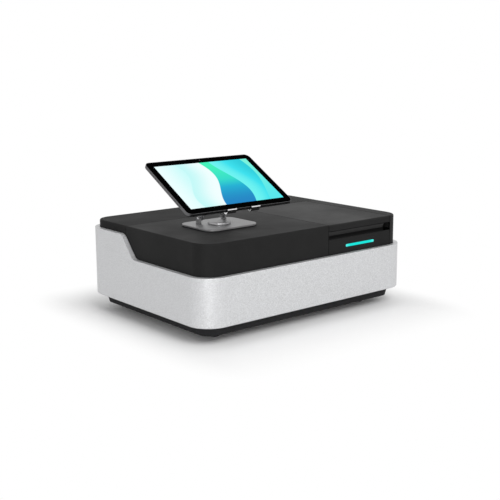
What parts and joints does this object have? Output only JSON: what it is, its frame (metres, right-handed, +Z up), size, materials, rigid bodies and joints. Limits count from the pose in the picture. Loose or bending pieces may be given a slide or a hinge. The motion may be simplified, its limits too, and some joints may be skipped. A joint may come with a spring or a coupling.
{
  "type": "water quality photometer",
  "caption": "Bench photometer with a silver band round a black split housing, a hinged sample lid, a sliding cell carriage and a tablet on a folding stand.",
  "frame": {"origin": "middle of the footprint on the bench top", "axes": "+X to the right along the front, +Y to the back, +Z up"},
  "size_m": [0.52, 0.388, 0.3074],
  "materials": {
    "silver_paint": "speckled silver paint, satin",
    "black_shell": "fine matte black",
    "dark_deck": "satin dark grey",
    "base_black": "matte black",
    "rubber_black": "matte",
    "steel": "plain",
    "status_glow": "lit cyan",
    "board_green": "solder mask",
    "inner_black": "light absorbing black",
    "aluminium": "fine brushed",
    "black_metal": "black powder coat",
    "clear_glass": "polished",
    "filter_glass": "coloured glass",
    "mirror": "front coated",
    "lamp_glass": "clear",
    "ceramic_white": "glazed",
    "black_gloss": "moulded black",
    "fan_black": "moulded black",
    "zinc_sheet": "zinc plated sheet",
    "tablet_metal": "anodised grey",
    "screen_glass": "black bordered cover glass",
    "display": "lit panel",
    "cell_black": "black anodised"
  },
  "bodies": {
    "housing": {"outer_band": "silver_paint", "base_tray": "base_black", "feet": "rubber_black", "fixing_screws": "steel", "front_cover": "black_shell", "rear_cover": "black_shell", "side_cover": "black_shell", "front_panel": "black_gloss", "status_light": "status_glow", "status_board": "board_green", "hinge_brackets": "zinc_sheet", "hinge_pins": "steel", "rear_frame": "zinc_sheet", "sample_well": "inner_black", "lid_seal": "rubber_black", "lenses": "clear_glass", "guide_rods": "steel", "stepper_motors": "black_metal", "support_posts": "aluminium", "detector": "black_metal", "optical_bench": "aluminium", "isolators": "rubber_black", "lamp_house": "black_metal", "lamp_socket": "ceramic_white", "lamp_bulb": "lamp_glass", "optics_mounts": "cell_black", "curved_mirrors": "mirror", "beam_tube": "cell_black", "rear_panel": "black_metal", "power_inlet": "black_gloss", "switch_bezel": "black_gloss", "port_board": "board_green", "fan_frame": "fan_black", "power_supply": "zinc_sheet", "main_board": "board_green", "stand_pad": "rubber_black", "stand_plate": "aluminium", "stand_cap": "aluminium"},
    "lid": {"sample_lid": "dark_deck", "lid_liner": "inner_black", "lid_screws": "steel", "lid_hinge_arms": "black_metal"},
    "carriage": {"cell_carriage": "cell_black"},
    "screw": {"drive_screw": "steel"},
    "wheel": {"filter_wheel": "cell_black", "filter_glasses": "filter_glass"},
    "turret": {"grating_turret": "cell_black", "grating_block": "mirror"},
    "rotor": {"fan_rotor": "fan_black"},
    "rocker": {"power_rocker": "black_gloss"},
    "arm": {"stand_arm": "aluminium", "upper_stand_pins": "steel"},
    "tablet": {"tablet_bracket": "aluminium", "hook_pads": "rubber_black", "tablet_shell": "tablet_metal", "tablet_glass": "screen_glass", "tablet_display": "display", "tablet_core": "inner_black"},
    "power_key": {"power_button": "tablet_metal"},
    "volume_key": {"volume_button": "tablet_metal"}
  },
  "joints": [
    {"name": "lid_hinge", "type": "hinge", "parent": "housing", "child": "lid", "pos_m": [0.131, 0.084, 0.1784], "axis": [-1, 0, 0], "range_deg": [0, 75]},
    {"name": "carriage_slide", "type": "slide", "parent": "housing", "child": "carriage", "axis": [0, 1, 0], "range_m": [-0.03, 0.03]},
    {"name": "screw_turn", "type": "hinge", "parent": "housing", "child": "screw", "pos_m": [0.131, 0, 0.1162], "axis": [0, 1, 0], "range_deg": [-1090, 1090]},
    {"name": "wheel_turn", "type": "hinge", "parent": "housing", "child": "wheel", "pos_m": [-0.018, 0.006, 0.14], "axis": [1, 0, 0], "continuous": true},
    {"name": "grating_turn", "type": "hinge", "parent": "housing", "child": "turret", "pos_m": [-0.044, -0.024, 0.12], "axis": [0, 0, 1], "range_deg": [-25, 25]},
    {"name": "fan_spin", "type": "hinge", "parent": "housing", "child": "rotor", "pos_m": [-0.1, 0.174, 0.098], "axis": [0, 1, 0], "continuous": true},
    {"name": "switch_rock", "type": "hinge", "parent": "housing", "child": "rocker", "pos_m": [0.074, 0.186, 0.098], "axis": [1, 0, 0], "range_deg": [0, 14]},
    {"name": "stand_lower_hinge", "type": "hinge", "parent": "housing", "child": "arm", "pos_m": [-0.1104, -0.019, 0.1975], "axis": [1, 0, 0], "range_deg": [-20, 6]},
    {"name": "stand_upper_hinge", "type": "hinge", "parent": "arm", "child": "tablet", "pos_m": [-0.1104, -0.0528, 0.2465], "axis": [1, 0, 0], "range_deg": [-15, 22]},
    {"name": "power_key_press", "type": "slide", "parent": "tablet", "child": "power_key", "axis": [0, -0.8704, -0.4924], "range_m": [0, 0.0005], "stiffness_N_per_m": 600, "springref_m": -0.0005},
    {"name": "volume_key_press", "type": "slide", "parent": "tablet", "child": "volume_key", "axis": [0, -0.8704, -0.4924], "range_m": [0, 0.0005], "stiffness_N_per_m": 600, "springref_m": -0.0005}
  ],
  "couplings": [
    {"joint": "screw_turn", "follows": "carriage_slide", "rad_per_m": 628.32}
  ]
}
